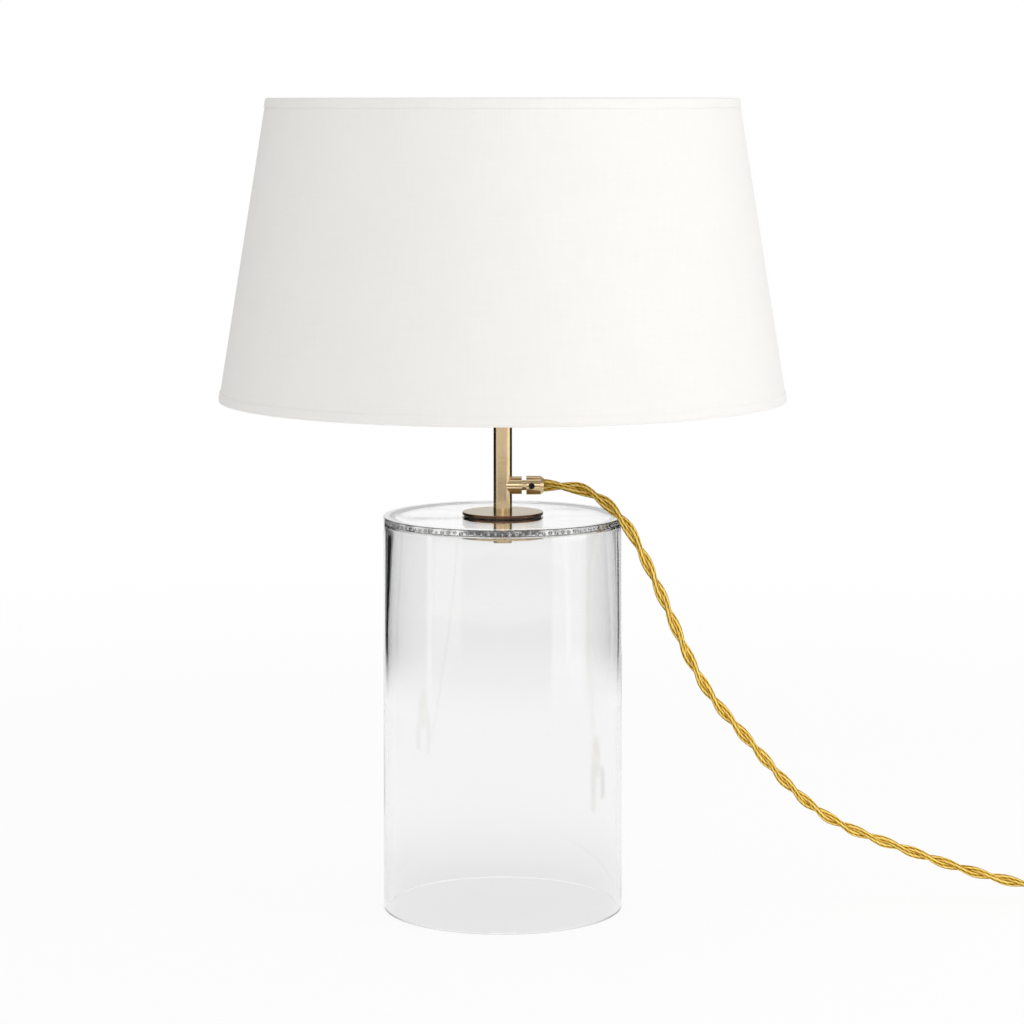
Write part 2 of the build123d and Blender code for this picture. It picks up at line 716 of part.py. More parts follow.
# Upper half, with the window and the two ears of the rocker
with BuildPart() as switch_cover:
    case_block(SWITCH_BASE_H, SWITCH_COVER_H, 0)
    fillet(switch_cover.edges().group_by(Axis.Z)[-1], SWITCH_EDGE_R)
    cavity = SWITCH_COVER_H - SWITCH_WALL
    case_block(SWITCH_BASE_H, cavity, SWITCH_WALL, mode=Mode.SUBTRACT)
    for side in (1, -1):
        case_post(side, SWITCH_BASE_H, cavity, post_r)
        case_post(side, SWITCH_BASE_H, cavity, screw_r + CASE_SCREW_CLEAR, mode=Mode.SUBTRACT)
        with BuildSketch(Plane.XY.offset(lug_low)):
            with Locations((switch_mid, side * (lug_y + LUG_T / 2))):
                Rectangle(LUG_L, LUG_T)
        extrude(amount=switch_top - SWITCH_WALL - lug_low)
    with BuildSketch(Plane.XY.offset(switch_top)):
        with Locations((switch_mid, 0)):
            Rectangle(window_l, window_w)
    extrude(amount=-SWITCH_WALL, mode=Mode.SUBTRACT)
    pivot_hole = (switch_mid, -lug_y - LUG_T, pivot_z)
    rod(pivot_hole, (0, 1, 0), PIVOT_D / 2 + PIVOT_RUN, 2 * (lug_y + LUG_T), mode=Mode.SUBTRACT)
    rod(port_start, (1, 0, 0), port_r, SWITCH_L, mode=Mode.SUBTRACT)

# Rocker, tipped to its off side, with its axle
with BuildPart() as switch_rocker:
    tilt = math.radians(ROCKER_TILT)
    tipped = Plane(
        origin=(switch_mid, 0, pivot_z),
        x_dir=(math.cos(tilt), 0, math.sin(tilt)),
        z_dir=(0, -1, 0),
    )
    with BuildSketch(tipped):
        with BuildLine():
            Polyline(
                (-ROCKER_L / 2, ROCKER_CROWN + ROCKER_RISE),
                (0, ROCKER_CROWN),
                (ROCKER_L / 2, ROCKER_CROWN + ROCKER_RISE),
                (ROCKER_L / 2, ROCKER_SIDE),
                (ROCKER_FOOT_L / 2, -ROCKER_FOOT),
                (-ROCKER_FOOT_L / 2, -ROCKER_FOOT),
                (-ROCKER_L / 2, ROCKER_SIDE),
                close=True,
            )
        make_face()
    extrude(amount=ROCKER_W / 2, both=True)
    rod(pivot_hole, (0, 1, 0), PIVOT_D / 2, 2 * (lug_y + LUG_T))

# Two case screws, driven from below
with BuildPart() as switch_screws:
    for side in (1, -1):
        case_post(side, CASE_SCREW_SINK, CASE_SCREW_HEAD_T, head_r)
        case_post(side, head_z, CASE_SCREW_LENGTH, screw_r)

# Brass blocks in the base and the blade that bridges them
with BuildPart() as switch_terminals:
    with BuildSketch(Plane.XY.offset(SWITCH_WALL)):
        with Locations((switch_mid - BLOCK_X, 0), (switch_mid + BLOCK_X, 0)):
            Rectangle(BLOCK_L, BLOCK_W)
    extrude(amount=SWITCH_BASE_H - SWITCH_WALL)

with BuildPart() as contact_blade:
    with BuildSketch(Plane.XY.offset(SWITCH_BASE_H)):
        with Locations((switch_mid, 0)):
            Rectangle(2 * BLOCK_X + BLOCK_L / 2, BLADE_W)
    extrude(amount=BLADE_T)

# Cord from the switch to the coil
with BuildPart() as cord_link:
    cord_tube(
        "cord_link",
        [
            (link_x, 0, SWITCH_BASE_H),
            (link_x + COIL_LEAD, 0, SWITCH_BASE_H),
            (link_x + 2 * COIL_LEAD, 0, coil_z),
            (coil_start_x, 0, coil_z),
        ],
        CORD_D,
    )

# Put-away length: a flat spiral in, half a turn of climb and a spiral out
with BuildPart() as cord_coil:
    quarters = [quarter / 4 for quarter in range(round(4 * COIL_TURNS) + 1)]
    knots = [coil_point(turn) for turn in quarters]
    step = 0.001
    ways = [(coil_point(turn + step) - coil_point(turn - step)).normalized() for turn in quarters]
    ways[0] = Vector(1, 0, 0)
    ways[-1] = Vector(-1, 0, 0)
    with BuildLine() as coil_path:
        Line((coil_start_x, 0, coil_z), knots[0])
        for i in range(len(knots) - 1):
            biarc(knots[i], ways[i], knots[i + 1], ways[i + 1])
        Line(knots[-1], coil_exit)
    with BuildSketch(Plane(origin=(coil_start_x, 0, coil_z), z_dir=(1, 0, 0))):
        Circle(CORD_D / 2)
    coil_line = coil_path.wire()
    sweep(path=coil_line)
    coil_share = cord_coil.part.volume / (math.pi * CORD_D**2 / 4 * coil_line.length)
    print("cord_coil length", round(coil_line.length, 1), "volume share", round(coil_share, 4))
    sample_count = round(COIL_SAMPLES * COIL_TURNS) + 1
    samples = [coil_point(i / COIL_SAMPLES) for i in range(sample_count)]
    half_turn = COIL_SAMPLES // 2
    least = min((a - b).length for i, a in enumerate(samples) for b in samples[i + half_turn :])
    print("cord_coil least gap to itself", round(least - CORD_D, 2))

# Band that ties the coil, closed round all its turns
with BuildPart() as coil_tie:
    tie_low = COIL_INNER_R + coil_pitch / 2 - CORD_D / 2 - TIE_CLEAR
    tie_high = coil_outer_r - coil_pitch / 4 + CORD_D / 2 + TIE_CLEAR
    tie_top = coil_z + coil_pitch + CORD_D / 2 + COIL_GAP
    tie_mid = (coil_x + (tie_low + tie_high) / 2, (TIE_T + tie_top) / 2)
    tie_l = tie_high - tie_low
    tie_h = tie_top - TIE_T
    with BuildSketch(Plane.XZ.offset(-coil_y)):
        with Locations(tie_mid):
            RectangleRounded(tie_l + 2 * TIE_T, tie_h + 2 * TIE_T, TIE_CORNER_R + TIE_T)
            RectangleRounded(tie_l, tie_h, TIE_CORNER_R, mode=Mode.SUBTRACT)
    extrude(amount=TIE_W / 2, both=True)

# Cord from the coil down into the plug
with BuildPart() as cord_tail:
    cord_tube(
        "cord_tail",
        [
            coil_exit,
            (coil_start_x - TAIL_RUN, plug_y, coil_exit[2]),
            (coil_start_x - 2 * TAIL_RUN, plug_y, plug_z),
            (plug_rear, plug_y, plug_z),
        ],
        CORD_D,
    )

# Flat two-pin plug, lying on its broad side
with BuildPart() as plug_body:
    with BuildSketch() as plug_outline:
        with BuildLine():
            Polyline(
                (plug_front, plug_y - PLUG_W / 2),
                (plug_front + PLUG_HEAD_L, plug_y - PLUG_W / 2),
                (plug_rear, plug_y - PLUG_REAR_W / 2),
                (plug_rear, plug_y + PLUG_REAR_W / 2),
                (plug_front + PLUG_HEAD_L, plug_y + PLUG_W / 2),
                (plug_front, plug_y + PLUG_W / 2),
                close=True,
            )
        make_face()
        fillet(plug_outline.vertices().sort_by(Axis.X)[:4], PLUG_CORNER_R)
    extrude(amount=PLUG_T)
    fillet(plug_body.edges().group_by(Axis.Z)[0], PLUG_EDGE_R)
    fillet(plug_body.edges().group_by(Axis.Z)[-1], PLUG_EDGE_R)

with BuildPart() as plug_pins:
    for side in (1, -1):
        foot = (plug_front, plug_y + side * PIN_SPACING / 2, plug_z)
        rod(foot, (-1, 0, 0), PIN_D / 2, PIN_LENGTH)
    fillet(plug_pins.edges().group_by(Axis.X)[0], PIN_TIP_R)

# Tapered sleeve behind the plug
with BuildPart() as plug_boot:
    boot_bore = CORD_D / 2 + BOOT_CLEAR
    turned(
        [
            (plug_rear, plug_z + boot_bore),
            (plug_rear, plug_z + BOOT_FRONT_D / 2),
            (plug_rear + BOOT_L, plug_z + boot_bore + BOOT_WALL),
            (plug_rear + BOOT_L, plug_z + boot_bore),
        ],
        axis=Axis((0, plug_y, plug_z), (1, 0, 0)),
        plane=Plane.XZ.offset(-plug_y),
    )

PIECES = {
    "glass_body": glass_body,
    "stem_bush": stem_bush,
    "top_gasket": top_gasket,
    "bottom_gasket": bottom_gasket,
    "top_flange": top_flange,
    "clamp_disc": clamp_disc,
    "stem_tube": stem_tube,
    "side_outlet": side_outlet,
    "cord_grip": cord_grip,
    "grip_bush": grip_bush,
    "grip_screw": grip_screw,
    "live_wire": live_wire,
    "neutral_wire": neutral_wire,
    "holder_cap": holder_cap,
    "holder_lock_screw": holder_lock_screw,
    "holder_core": holder_core,
    "terminal_screws": terminal_screws,
    "contact_strap": contact_strap,
    "shell_strap": shell_strap,
    "socket_shell": socket_shell,
    "centre_contact": centre_contact,
    "contact_spring": contact_spring,
    "holder_skirt": holder_skirt,
    "mouth_ring": mouth_ring,
    "shade_ring": shade_ring,
    "shade_fitter": shade_fitter,
    "bottom_wire": bottom_wire,
    "top_wire": top_wire,
    "shade_arms": shade_arms,
    "shade_cover": shade_cover,
    "shade_liner": shade_liner,
    "bottom_hem": bottom_hem,
    "top_hem": top_hem,
    "cord_drop": cord_drop,
    "switch_base": switch_base,
    "switch_cover": switch_cover,
    "switch_rocker": switch_rocker,
    "switch_screws": switch_screws,
    "switch_terminals": switch_terminals,
    "contact_blade": contact_blade,
    "cord_link": cord_link,
    "cord_coil": cord_coil,
    "coil_tie": coil_tie,
    "cord_tail": cord_tail,
    "plug_body": plug_body,
    "plug_pins": plug_pins,
    "plug_boot": plug_boot,
}

os.makedirs("parts", exist_ok=True)
for label, piece in PIECES.items():
    piece.part.label = label
    export_step(piece.part, f"parts/{label}.step")
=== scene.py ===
"""Looks of a table lamp with a glass bell base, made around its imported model."""

import json
import math

import bmesh
import bpy
from mathutils import Matrix, Vector, noise


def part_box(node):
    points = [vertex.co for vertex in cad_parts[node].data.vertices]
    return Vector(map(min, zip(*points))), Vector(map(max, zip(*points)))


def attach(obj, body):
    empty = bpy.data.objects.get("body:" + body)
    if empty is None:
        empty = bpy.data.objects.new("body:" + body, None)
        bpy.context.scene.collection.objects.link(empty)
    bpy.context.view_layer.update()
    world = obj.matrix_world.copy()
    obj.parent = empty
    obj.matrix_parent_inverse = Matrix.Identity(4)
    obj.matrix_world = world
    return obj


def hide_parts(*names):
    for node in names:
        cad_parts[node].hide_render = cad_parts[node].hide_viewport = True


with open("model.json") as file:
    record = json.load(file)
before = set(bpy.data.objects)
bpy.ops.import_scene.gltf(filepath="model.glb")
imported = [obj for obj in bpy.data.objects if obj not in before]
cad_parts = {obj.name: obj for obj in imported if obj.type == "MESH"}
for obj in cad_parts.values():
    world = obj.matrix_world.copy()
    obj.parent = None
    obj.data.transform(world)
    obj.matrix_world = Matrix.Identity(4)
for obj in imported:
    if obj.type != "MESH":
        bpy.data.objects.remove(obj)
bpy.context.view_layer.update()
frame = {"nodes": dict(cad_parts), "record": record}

# Sizes and places are in metres, angles in radians unless a name says degrees.

# Camera: the picture is 1024 pixels square
PICTURE = 1024
CAMERA_DISTANCE = 1.737
CAMERA_HEIGHT = 0.4325
CAMERA_X = 0.0049
CAMERA_TILT = math.radians(4.3)
FOCAL_PIXELS = 3297
SHIFT_PIXELS = 170
SENSOR = 0.036

# Cord: a twisted pair of braided cores
STRAND_R = 0.0015
PAIR_R = 0.00141
PAIR_SWELL = 0.2
SWELL_LENGTH = 0.09
LAY = 0.0355
LOOSE_LAY = 0.045
LOOSE_LENGTH = 0.078
TWIST_START = math.radians(61)
CORD_STEP = 0.0012
DROP_ROUTE = [
    (0.017, 0, 0.2258),
    (0.0315, 0, 0.2258),
    (0.046, -0.007, 0.2236),
    (0.057, -0.0195, 0.2168),
    (0.0665, -0.0325, 0.2069),
    (0.0795, -0.041, 0.1805),
    (0.1025, -0.04, 0.1265),
    (0.127, -0.0325, 0.0972),
    (0.1545, -0.02, 0.064),
    (0.1785, -0.0095, 0.045),
    (0.214, -0.001, 0.0305),
    (0.2425, 0.002, 0.0198),
    (0.2705, 0.002, 0.0123),
    (0.296, 0, 0.008),
    (0.32, 0, 0.008),
]
LINK_ROUTE = [
    (0.374, 0, 0.008),
    (0.393, 0, 0.008),
    (0.412, 0, 0.004),
    (0.431, 0, 0.004),
]
TAIL_ROUTE = [
    (0.431, 0.0903, 0.0106),
    (0.408, 0.0903, 0.0106),
    (0.385, 0.0903, 0.00685),
    (0.362, 0.0903, 0.00685),
]
COIL_CENTRE = (0.437, 0.04515)
COIL_TURNS = 5.5
COIL_INNER_R = 0.027
COIL_PITCH = 0.0066
COIL_LOW = 0.004
COIL_STEPS = 16
COIL_CLIMB = 0.5
TIE_T = 0.0008
TIE_CORNER_R = 0.002
TIE_SIDE = 0.004
RIB_PITCH = 0.0009
RIB_DEPTH = 0.0001
FUZZ_SCALE = 1500
YARN_COUNT = 5
YARN_PITCH = 0.02
YARN_DEPTH = 0.0002
BRAID_PITCH = 0.004
STREAK_SCALE = 1.6
STREAK_STRETCH = (6, 130, 1)

# Glass bell
GLASS_HOLE_D = 0.0124
GLASS_PLATE = 0.004
GLASS_WALL = 0.0024
GLASS_WALL_TOP = 0.0048
GLASS_THICKENING = 0.06
GLASS_TAPER_R = 0.5
GLASS_SHOULDER_R = 0.0005
GLASS_INNER_R = 0.0015
GLASS_EDGE_R = 0.0007
GLASS_DRY_GAP = 0.00005
GLASS_PRESSED = 0.00002
GLASS_PRESSED_R = 0.014
GLASS_WAVY_H = 0.02
GLASS_WAVE = 0.00006
GLASS_WAVE_SCALE = 180
GLASS_SIDE = 0.004
GLASS_STEPS = 192
GLASS_SKIN = 0.0005
GLASS_WAVY_FROM = 0.03
PLATE_MARGIN = 0.001
GLASS_IOR = 1.5
RIPPLE = 0.0001
RIPPLE_SCALE = 28
RIPPLE_STRETCH = (1, 1, 0.5)
SMEAR_ROUGH = 0.012
SMEAR_SCALE = 60
SMEAR_STRETCH = (1, 1, 0.35)
RIM_IOR = 1.7
RIM_W = 0.005
RIM_H = 0.009
RIM_ROUGH = 0.1
BUBBLE_COUNT = 108
BUBBLE_R = 0.001
BUBBLE_INSET = 0.0023
BUBBLE_SPREAD = 0.0006
BUBBLE_VARIES = 0.5
BUBBLE_DRAW = 1.7

# Shade cloth
FABRIC_INSET = 0.00035
FABRIC_T = 0.0006
FABRIC_WAVE = 0.0002
FABRIC_THREAD = 0.00055
FABRIC_SIDE = 0.005
SHADE_STEPS = 320
WRINKLE_SCALE = (14, 14, 4)
WEAVE_DEPTH = 0.00008
SLUB_SCALE = 900
SLUB_STRETCH = 0.06
CLOUD_SCALE = 30
HEM_W = 0.0048
HEM_T = 0.0003
HEM_ROLL = 0.0003
HEM_DEPTH = 0.0052
HEM_BEND = 0.0014
HEM_WANDER = 0.0006
HEM_WANDER_SCALE = 9

# Thread of the screw shell
SOCKET_PITCH = 0.00362
SOCKET_THREAD_DEPTH = 0.0009
THREAD_WALL = 0.0003
THREAD_POINTS = 8
THREAD_STEPS = 64

# Set screw of the cord grip
SCREW_SUNK = 0.0005
SCREW_SOCKET_R = 0.0009
SCREW_SOCKET_DEPTH = 0.001

# Metals and mouldings: scales are noise cells in a metre
BLOTCH_SCALE = 160
LINE_SCALE = 90
LINE_STRETCH = (1, 1, 60)
LINE_DEPTH = 0.00003
# Width of the painted dark reflection on the upper disc's edge
DARK_REFLECTION_FROM = 0.0005
DARK_REFLECTION_FULL = 0.0001
PLATING_SCALE = 300
SCRATCH_SCALE = 700
SCRATCH_STRETCH = (1, 8, 8)
SCRATCH_DEPTH = 0.00002
MOULDING_SCALE = 90
GRAIN_SCALE = 1400
GRAIN_DEPTH = 0.00003

# Light: a white table, dark cards round it and soft boxes
FLOOR_SIZE = 8
FLOOR_GLOW = 0.9
FLOOR_NEAR = 0.5
FLOOR_FAR = 1.4
# Painted shadows on the table: seen through the glass near the lamp, and a ring under the
# glass's rim
SHADED_R = 0.26
SHADED_GLOW = 0.84
CONTACT_SHADOW_W = 0.0014
CONTACT_SHADOW_INSET = 0.001
CONTACT_SHADOW_FRONT = 0.1
CONTACT_SHADOW_BACK = 0.75
CARD_R = 0.6
CARD_FADE = 0.05
CARD_STEPS = 24
THROUGH_CARD_H = 0.24
GLASS_CARD_H = 0.135
FRONT_CARD_H = 0.14
STEM_CARD_FOOT = 0.1
STEM_CARD_H = 0.6
STRIP_H = 0.9
FILL = 0.67
FRONT_ENERGY = 9.8
SIDE_ENERGY = 7.3
STRIP_GLOW = 1.5

nodes = frame["nodes"]


class Value:
    """A shader output that takes part in arithmetic."""

    def __init__(self, finish, socket):
        self.finish = finish
        self.socket = socket

    def worked(self, operation, *operands):
        inputs = dict(enumerate(operands))
        return self.finish.node("ShaderNodeMath", {"operation": operation}, inputs)

    def __add__(self, other):
        return self.worked("ADD", self, other)

    def __sub__(self, other):
        return self.worked("SUBTRACT", self, other)

    def __rsub__(self, other):
        return self.worked("SUBTRACT", other, self)

    def __mul__(self, other):
        return self.worked("MULTIPLY", self, other)

    def __abs__(self):
        return self.worked("ABSOLUTE", self)

    __radd__ = __add__
    __rmul__ = __mul__

    def sine(self):
        return self.worked("SINE", self)

    def most(self, other):
        return self.worked("MAXIMUM", self, other)


class Finish:
    """A material or world, its shader and the nodes that feed it."""

    def __init__(self, owner, shader, constants=None):
        owner.use_nodes = True
        self.owner = owner
        self.tree = owner.node_tree
        self.shader = self.tree.nodes[shader]
        for name, value in (constants or {}).items():
            self.shader.inputs[name].default_value = value

    def node(self, kind, settings=None, inputs=None, output=0):
        made = self.tree.nodes.new(kind)
        for name, value in (settings or {}).items():
            if name == "stops":
                self.set_stops(made.color_ramp, value)
            else:
                setattr(made, name, value)
        for place, value in (inputs or {}).items():
            self.feed(made.inputs[place], value)
        return Value(self, made.outputs[output])

    def set_stops(self, ramp, stops):
        while len(ramp.elements) < len(stops):
            ramp.elements.new(1)
        for element, (place, colour) in zip(ramp.elements, stops):
            element.position = place
            element.color = (*colour, 1)

    def feed(self, socket, value):
        if isinstance(value, Value):
            self.tree.links.new(value.socket, socket)
        else:
            socket.default_value = value

    def feed_shader(self, name, value):
        self.feed(self.shader.inputs[name], value)

    def place(self, kind="Object", scale=None):
        """Object or UV coordinates, stretched where a scale is given."""
        coordinates = self.node("ShaderNodeTexCoord", output=kind)
        if scale is None:
            return coordinates
        return self.node("ShaderNodeMapping", {}, {"Vector": coordinates, "Scale": scale})

    def axis(self, number, kind="Object"):
        """One of the three coordinates."""
        return self.node("ShaderNodeSeparateXYZ", {}, {0: self.place(kind)}, output=number)

    def radius(self):
        """Distance from the lamp's axis."""
        inputs = {0: self.place(), 1: (1, 1, 0)}
        flat = self.node("ShaderNodeVectorMath", {"operation": "MULTIPLY"}, inputs)
        return self.node("ShaderNodeVectorMath", {"operation": "LENGTH"}, {0: flat}, output=1)

    def noise(self, place, scale, detail=3.0):
        inputs = {"Vector": place, "Scale": scale, "Detail": detail}
        return self.node("ShaderNodeTexNoise", {}, inputs)

    def ramp(self, value, *stops):
        return self.node("ShaderNodeValToRGB", {"stops": stops}, {"Fac": value})

    def mix(self, factor, first, second):
        inputs = {0: factor, 6: first, 7: second}
        return self.node("ShaderNodeMix", {"data_type": "RGBA"}, inputs, output=2)

    def stepped(self, value, start, end, first, last):
        """A value that goes smoothly from first to last between start and end."""
        inputs = {0: value, 1: start, 2: end, 3: first, 4: last}
        return self.node("ShaderNodeMapRange", {"interpolation_type": "SMOOTHSTEP"}, inputs)

    def cover(self, mask, colour):
        """Lay a colour over the base colour where a mask is one."""
        bare = Value(self, self.shader.inputs["Base Color"].links[0].from_socket)
        self.feed_shader("Base Color", self.mix(mask, bare, colour))

    def bump(self, height, distance, strength=1.0):
        inputs = {"Height": height, "Distance": distance, "Strength": strength}
        self.feed_shader("Normal", self.node("ShaderNodeBump", {}, inputs))


def new_finish(name, **constants):
    """A new material with constants on its shader, their sockets' names with underscores."""
    sockets = {key.replace("_", " "): value for key, value in constants.items()}
    return Finish(bpy.data.materials.new(name), "Principled BSDF", sockets)


def rgb(red, green, blue):
    return (red, green, blue, 1)


def clear_glass():
    """Glass with faint smears and ripples, and a duller rim round its top, brighter there
    because its tint is left out as painted light.
    """
    finish = new_finish("clear_glass", IOR=GLASS_IOR, Transmission_Weight=1, Coat_IOR=RIM_IOR)
    smears = finish.noise(finish.place(scale=SMEAR_STRETCH), SMEAR_SCALE)
    ripple = finish.noise(finish.place(scale=RIPPLE_STRETCH), RIPPLE_SCALE, 1)
    finish.bump(ripple * RIPPLE, 1)
    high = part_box("glass_body")[1]
    rim = finish.stepped(finish.radius(), high.x - RIM_W, high.x - RIM_W / 2, 0, 1)
    rim = rim * finish.stepped(finish.axis(2), high.z - RIM_H, high.z - RIM_H / 2, 0, 1)
    finish.feed_shader("Roughness", smears * SMEAR_ROUGH + rim * RIM_ROUGH)
    finish.feed_shader("Coat Weight", rim)
    # Leaving the tint out at the rim is painted light: it makes the rim read brighter.
    finish.feed_shader("Base Color", finish.mix(rim, rgb(0.957, 0.96, 0.957), rgb(1, 1, 1)))
    return finish


def turned_brass(name, dark, light, roughness):
    """Turned and aged brass: blotches of tone, fine lines round the axis and dulled spots."""
    finish = new_finish(name, Metallic=1)
    blotches = finish.noise(finish.place(), BLOTCH_SCALE, 5)
    finish.feed_shader("Base Color", finish.mix(blotches, dark, light))
    lines = finish.noise(finish.place(scale=LINE_STRETCH), LINE_SCALE, 2)
    finish.feed_shader("Roughness", roughness + 0.12 * blotches + 0.06 * lines)
    finish.bump(lines, LINE_DEPTH, 0.35)
    return finish


def flange_brass():
    """Satin brass of the upper disc, with a painted dark reflection on its edge."""
    finish = turned_brass("flange_brass", rgb(0.34, 0.26, 0.14), rgb(0.47, 0.37, 0.21), 0.16)
    outer_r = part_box("top_flange")[1].x
    # The dark band on the edge is a painted reflection of dark surroundings, not the brass's
    # colour.
    edge = finish.stepped(finish.radius(), outer_r - DARK_REFLECTION_FROM, outer_r - DARK_REFLECTION_FULL, 0, 1)
    finish.cover(edge, rgb(0.12, 0.06, 0.035))
    return finish


def worked_metal(name, dark, light, roughness):
    """Plated or drawn metal with faint tone changes and scratches."""
    finish = new_finish(name, Metallic=1)
    tone = finish.noise(finish.place(), PLATING_SCALE, 4)
    finish.feed_shader("Base Color", finish.mix(tone, dark, light))
    scratches = finish.noise(finish.place(scale=SCRATCH_STRETCH), SCRATCH_SCALE, 2)
    finish.feed_shader("Roughness", roughness + 0.15 * scratches)
    finish.bump(scratches, SCRATCH_DEPTH, 0.3)
    return finish


def moulding(name, dark, light, roughness, **constants):
    """Moulded or fired material with a fine grain on its skin."""
    finish = new_finish(name, **constants)
    tone = finish.noise(finish.place(), MOULDING_SCALE, 4)
    finish.feed_shader("Base Color", finish.mix(tone, dark, light))
    skin = finish.noise(finish.place(), GRAIN_SCALE, 2)
    finish.feed_shader("Roughness", roughness + 0.1 * skin)
    finish.bump(skin, GRAIN_DEPTH, 0.3)
    return finish


def pin_metal():
    """Nickel pins, with a dark sleeve on the half beside the plug."""
    finish = worked_metal("nickel", rgb(0.55, 0.53, 0.5), rgb(0.68, 0.66, 0.62), 0.2)
    low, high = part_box("plug_pins")
    along = finish.axis(0)
    sleeve = along.worked("GREATER_THAN", along, (low.x + high.x) / 2)
    finish.cover(sleeve, rgb(0.03, 0.03, 0.032))
    finish.feed_shader("Metallic", 1 - sleeve)
    return finish


def shade_linen():
    """Slubbed off-white linen; its UV map is the flat cut in metres."""
    finish = new_finish("shade_linen", Sheen_Weight=0.08, Sheen_Roughness=0.5)
    warp_slubs = finish.noise(finish.place("UV", (1, SLUB_STRETCH, 1)), SLUB_SCALE, 3)
    weft_slubs = finish.noise(finish.place("UV", (SLUB_STRETCH, 1, 1)), SLUB_SCALE, 3)
    cloud = finish.noise(finish.place("UV"), CLOUD_SCALE, 4)
    threads = 2 * math.pi / FABRIC_THREAD
    warp = (finish.axis(0, "UV") * threads + 2 * warp_slubs).sine()
    weft = (finish.axis(1, "UV") * threads + 2 * weft_slubs).sine()
    weave = warp.most(weft) * 0.5 + 0.5
    slubs = warp_slubs * 0.5 + weft_slubs * 0.5
    tone = slubs * 0.5 + cloud * 0.2 + weave * 0.3
    linen = finish.ramp(tone, (0.25, (0.865, 0.845, 0.81)), (0.75, (0.93, 0.915, 0.89)))
    finish.feed_shader("Base Color", linen)
    finish.feed_shader("Roughness", 0.9 - 0.15 * slubs)
    finish.bump(weave * 0.6 + slubs * 0.5, WEAVE_DEPTH, 0.4)
    return finish


def gold_yarn():
    """Braided rayon, its ramp partly painted light: shade in the grooves and highlights on the
    crests; its UV map is the way round in turns and the length in metres.
    """
    finish = new_finish("gold_yarn", Specular_IOR_Level=0.15)
    streaks = finish.noise(finish.place("UV", STREAK_STRETCH), STREAK_SCALE, 2)
    turn = finish.axis(0, "UV") * (2 * math.pi * YARN_COUNT)
    length = finish.axis(1, "UV")
    yarns = (turn + length * (2 * math.pi / YARN_PITCH) + 3 * streaks).sine() * 0.5 + 0.5
    picks = (length * (2 * math.pi / BRAID_PITCH) - turn).sine() * 0.5 + 0.5
    tone = yarns * 0.5 + picks * 0.2 + streaks * 0.3
    # Dark stops are painted shade in the grooves between yarns, the brightest stop a painted
    # highlight on their crests; the streaks are the yarn's own tone.
    gold_with_painted_light = finish.ramp(
        tone,
        (0.2, (0.25, 0.095, 0.001)),
        (0.48, (0.78, 0.44, 0.025)),
        (0.76, (1, 0.82, 0.26)),
    )
    finish.feed_shader("Base Color", gold_with_painted_light)
    finish.feed_shader("Roughness", 0.55 - 0.15 * tone)
    finish.bump(yarns + 0.3 * picks + 0.5 * streaks, YARN_DEPTH, 0.6)
    return finish


def tie_webbing():
    """Woven band with its ribs across its width."""
    finish = new_finish("tie_webbing", Sheen_Weight=0.2)
    ribs = (finish.axis(1) * (2 * math.pi / RIB_PITCH)).sine() * 0.5 + 0.5
    fuzz = finish.noise(finish.place(), FUZZ_SCALE, 3)
    black = finish.mix(fuzz, rgb(0.012, 0.012, 0.013), rgb(0.05, 0.05, 0.052))
    finish.feed_shader("Base Color", black)
    finish.feed_shader("Roughness", 0.75 + 0.2 * fuzz)
    finish.bump(ribs + 0.5 * fuzz, RIB_DEPTH, 0.7)
    return finish


FINISHES = {
    "clear_glass": clear_glass(),
    "antique_brass": turned_brass(
        "antique_brass", rgb(0.53, 0.4, 0.225), rgb(0.75, 0.575, 0.35), 0.05
    ),
    "contact_brass": turned_brass(
        "contact_brass", rgb(0.62, 0.45, 0.18), rgb(0.78, 0.6, 0.28), 0.16
    ),
    "steel": worked_metal("steel", rgb(0.42, 0.42, 0.42), rgb(0.58, 0.57, 0.56), 0.25),
    "gasket_rubber": moulding(
        "gasket_rubber", rgb(0.06, 0.059, 0.056), rgb(0.11, 0.108, 0.102), 0.6
    ),
    "nylon": moulding(
        "nylon", rgb(0.62, 0.6, 0.53), rgb(0.74, 0.72, 0.66), 0.4, Subsurface_Weight=0.1
    ),
    "brown_insulation": moulding(
        "brown_insulation", rgb(0.09, 0.035, 0.015), rgb(0.14, 0.055, 0.025), 0.4
    ),
    "blue_insulation": moulding(
        "blue_insulation", rgb(0.02, 0.08, 0.26), rgb(0.035, 0.12, 0.36), 0.4
    ),
    "porcelain": moulding(
        "porcelain", rgb(0.72, 0.7, 0.66), rgb(0.82, 0.81, 0.78), 0.12, Coat_Weight=0.5
    ),
    "shade_frame": moulding(
        "shade_frame", rgb(0.74, 0.74, 0.73), rgb(0.84, 0.84, 0.83), 0.32, Coat_Weight=0.2
    ),
    "shade_fabric": shade_linen(),
    "shade_liner": moulding(
        "shade_liner", rgb(0.8, 0.79, 0.77), rgb(0.86, 0.855, 0.84), 0.5
    ),
    "gold_textile": gold_yarn(),
    "tie_band": tie_webbing(),
    "black_plastic": moulding(
        "black_plastic", rgb(0.012, 0.012, 0.013), rgb(0.024, 0.024, 0.026), 0.34
    ),
    "nickel": pin_metal(),
}
for subpart in frame["record"]["subparts"]:
    material_slots = nodes[subpart["node"]].material_slots
    for material_slot in material_slots:
        material_slot.material = FINISHES[subpart["material_slot"]].owner
satin_brass = flange_brass()
for material_slot in nodes["top_flange"].material_slots:
    material_slot.material = satin_brass.owner


